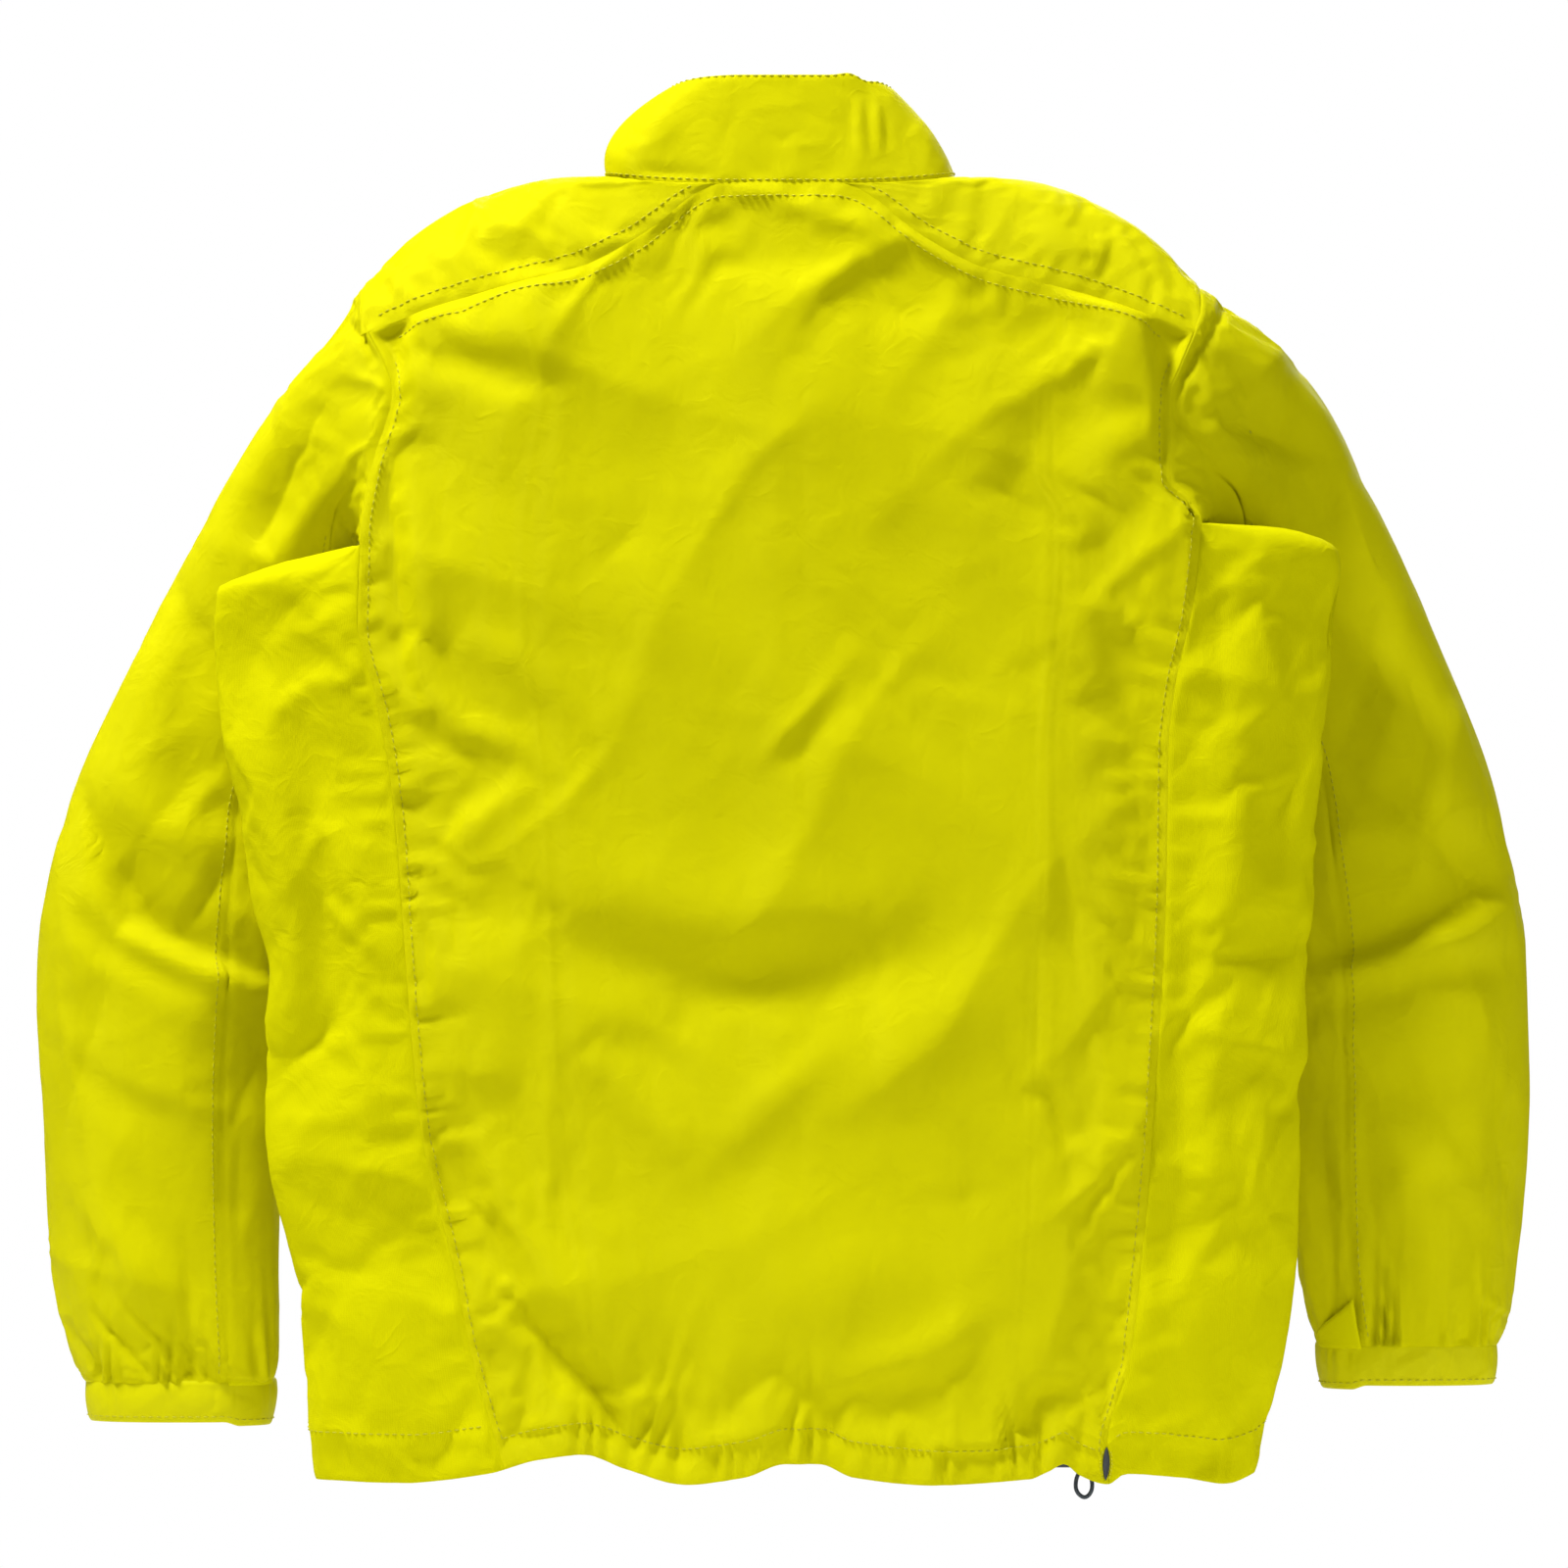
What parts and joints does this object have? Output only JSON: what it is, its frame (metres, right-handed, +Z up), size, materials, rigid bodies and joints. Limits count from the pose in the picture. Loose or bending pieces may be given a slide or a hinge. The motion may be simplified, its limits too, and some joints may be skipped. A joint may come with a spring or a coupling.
{
  "type": "ski jacket",
  "caption": "Insulated zip-up ski mid-layer jacket with stand collar, raglan-style yokes, stretch side panels, gathered cuffs and a hem drawcord, hanging from its neck loop.",
  "frame": {"origin": "point of the inside hang loop that rests on a hook, at the centre back of the neck", "axes": "+Z up, +Y towards the front zip, so the back faces -Y, and +X towards the wearer's right"},
  "size_m": [0.7965, 0.142, 0.7505],
  "materials": {
    "shell": "fine woven nylon, matt",
    "stretch": "matt stretch weave",
    "rib": "stretch binding",
    "lining": "thin woven lining",
    "insulation": "lofted fibre",
    "tape": "woven tape",
    "coil": "moulded coil",
    "slider": "enamelled",
    "pull": "moulded",
    "cord": "braided elastic",
    "eyelet": "enamelled",
    "lock": "moulded",
    "spring": "wire",
    "patch": "blank woven tab"
  },
  "bodies": {
    "jacket": {"back_panel": "shell", "chin_guard": "lining", "collar_lining": "lining", "collar_outer": "shell", "cord_eyelet": "eyelet", "cord_lock_body": "lock", "cord_lock_spring": "spring", "draft_flap": "shell", "drawcord_loop": "cord", "front_panel_left": "shell", "front_panel_right": "shell", "hang_loop": "tape", "hem_drawcord": "cord", "hem_facing": "lining", "insulation_back": "insulation", "insulation_front_left": "insulation", "insulation_front_right": "insulation", "lining_back": "lining", "lining_front_left": "lining", "lining_front_right": "lining", "main_zip_box": "coil", "main_zip_coil_left": "coil", "main_zip_coil_right": "coil", "main_zip_pin": "coil", "main_zip_stop_left": "coil", "main_zip_stop_right": "coil", "main_zip_tape_left": "tape", "main_zip_tape_right": "tape", "neck_patch": "patch", "pocket_left_bag": "lining", "pocket_left_coil_inner": "coil", "pocket_left_coil_outer": "coil", "pocket_left_tape": "tape", "pocket_right_bag": "lining", "pocket_right_coil_inner": "coil", "pocket_right_coil_outer": "coil", "pocket_right_tape": "tape", "shoulder_yoke_left": "shell", "shoulder_yoke_right": "shell", "side_panel_left": "stretch", "side_panel_right": "stretch"},
    "main_slider": {"main_zip_slider": "slider"},
    "main_pull": {"main_zip_pull": "pull"},
    "pocket_slider_left": {"pocket_left_slider": "slider"},
    "pocket_pull_left": {"pocket_left_pull": "pull"},
    "pocket_slider_right": {"pocket_right_slider": "slider"},
    "pocket_pull_right": {"pocket_right_pull": "pull"},
    "lock_plunger": {"cord_lock_plunger": "lock"},
    "sleeve_left": {"sleeve_left_cuff_band": "rib", "sleeve_left_cuff_gusset": "rib", "sleeve_left_lining": "lining", "sleeve_left_outer": "shell", "sleeve_left_under": "shell"},
    "sleeve_right": {"sleeve_right_cuff_band": "rib", "sleeve_right_cuff_gusset": "rib", "sleeve_right_lining": "lining", "sleeve_right_outer": "shell", "sleeve_right_under": "shell"}
  },
  "joints": [
    {"name": "main_zip_slide", "type": "slide", "parent": "jacket", "child": "main_slider", "axis": [0, 0, -1], "range_m": [0, 0.656]},
    {"name": "main_pull_swing", "type": "hinge", "parent": "main_slider", "child": "main_pull", "pos_m": [0, 0.0854, -0.005], "axis": [1, 0, 0], "range_deg": [0, 150]},
    {"name": "pocket_zip_left_slide", "type": "slide", "parent": "jacket", "child": "pocket_slider_left", "axis": [-0.1339, 0.0014, -0.991], "range_m": [0, 0.1313]},
    {"name": "pocket_pull_left_swing", "type": "hinge", "parent": "pocket_slider_left", "child": "pocket_pull_left", "pos_m": [-0.1519, 0.06883, -0.41682], "axis": [0.9696, 0.2067, -0.1307], "range_deg": [0, 150]},
    {"name": "pocket_zip_right_slide", "type": "slide", "parent": "jacket", "child": "pocket_slider_right", "axis": [0.1339, 0.0014, -0.991], "range_m": [0, 0.1313]},
    {"name": "pocket_pull_right_swing", "type": "hinge", "parent": "pocket_slider_right", "child": "pocket_pull_right", "pos_m": [0.1519, 0.06883, -0.41682], "axis": [0.9696, -0.2067, 0.1307], "range_deg": [0, 150]},
    {"name": "cord_lock_press", "type": "slide", "parent": "jacket", "child": "lock_plunger", "axis": [-1, 0, 0], "range_m": [0, 0.004], "stiffness_N_per_m": 400, "springref_m": -0.004},
    {"name": "sleeve_left_swing", "type": "hinge", "parent": "jacket", "child": "sleeve_left", "pos_m": [-0.2238, 0.03, -0.054], "axis": [0, 1, 0], "range_deg": [0, 50]},
    {"name": "sleeve_right_swing", "type": "hinge", "parent": "jacket", "child": "sleeve_right", "pos_m": [0.2238, 0.03, -0.052], "axis": [0, -1, 0], "range_deg": [0, 50]}
  ]
}
